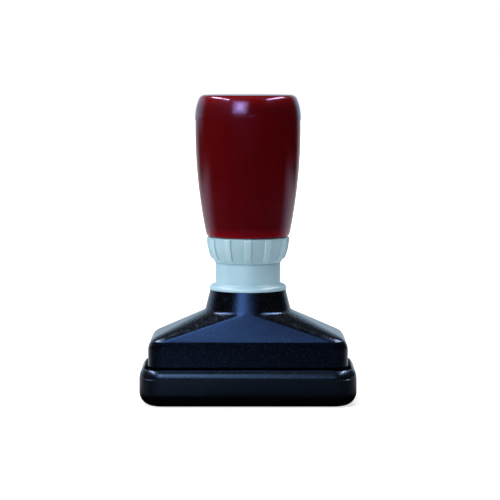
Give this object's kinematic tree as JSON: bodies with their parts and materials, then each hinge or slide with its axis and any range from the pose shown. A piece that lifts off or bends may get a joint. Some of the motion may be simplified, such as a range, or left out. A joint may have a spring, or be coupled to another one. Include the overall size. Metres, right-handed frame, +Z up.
{
  "type": "pre-inked stamp",
  "caption": "Hand-held pre-inked stamp with a barrel grip, adjusting ring, hipped housing and pull-off dust cap; the grip presses the die down against a spring.",
  "frame": {"origin": "centre of the dust cap's underside", "axes": "+Z up along the plunger, +X along the long side, -Y towards the front"},
  "size_m": [0.0642, 0.0334, 0.0914],
  "materials": {
    "red_gloss": "glossy dark red moulding",
    "pale_ring": "pale blue-grey, satin, ribbed",
    "pale_plastic": "pale blue-grey, satin",
    "grey_plastic": "mid grey, as moulded",
    "black_housing": "black, fine moulded grain",
    "black_cap": "black, smooth satin",
    "steel": "plated steel",
    "brass": "turned brass",
    "rubber": "soft black rubber",
    "ink_foam": "ink-soaked foam",
    "die_foam": "fine printing foam with ink on its face"
  },
  "bodies": {
    "dust_cap": {"dust_cap": "black_cap"},
    "stamp_body": {"outer_housing": "black_housing", "guide_sleeve": "pale_plastic", "sleeve_nut": "pale_plastic", "lower_spring_washer": "steel", "return_spring": "steel"},
    "plunger": {"grip": "red_gloss", "grip_core": "grey_plastic", "threaded_insert": "brass", "plunger_rod": "steel", "upper_spring_washer": "steel", "buffer_washer": "rubber", "die_carrier": "grey_plastic", "carrier_nut": "steel", "carrier_washer": "steel", "ink_fill_plugs": "rubber", "ink_pad": "ink_foam", "stamp_die": "die_foam", "die_frame": "pale_plastic", "die_frame_screws": "steel"},
    "ring": {"adjusting_ring": "pale_ring", "ring_o_ring": "rubber"},
    "nut": {"stop_nut": "grey_plastic"}
  },
  "joints": [
    {"name": "lift_off", "type": "slide", "parent": "dust_cap", "child": "stamp_body", "axis": [0, 0, 1], "range_m": [0, 0.03]},
    {"name": "press", "type": "slide", "parent": "stamp_body", "child": "plunger", "axis": [0, 0, 1], "range_m": [-0.004, 0], "stiffness_N_per_m": 1200, "springref_m": 0.004, "deforming": ["return_spring"]},
    {"name": "ring_turn", "type": "hinge", "parent": "plunger", "child": "ring", "pos_m": [0, 0, 0.0456], "axis": [0, 0, 1], "range_deg": [0, 360]},
    {"name": "nut_travel", "type": "slide", "parent": "plunger", "child": "nut", "axis": [0, 0, 1], "range_m": [0, 0.0015]}
  ],
  "couplings": [
    {"joint": "ring_turn", "follows": "nut_travel", "rad_per_m": 4188.8}
  ]
}
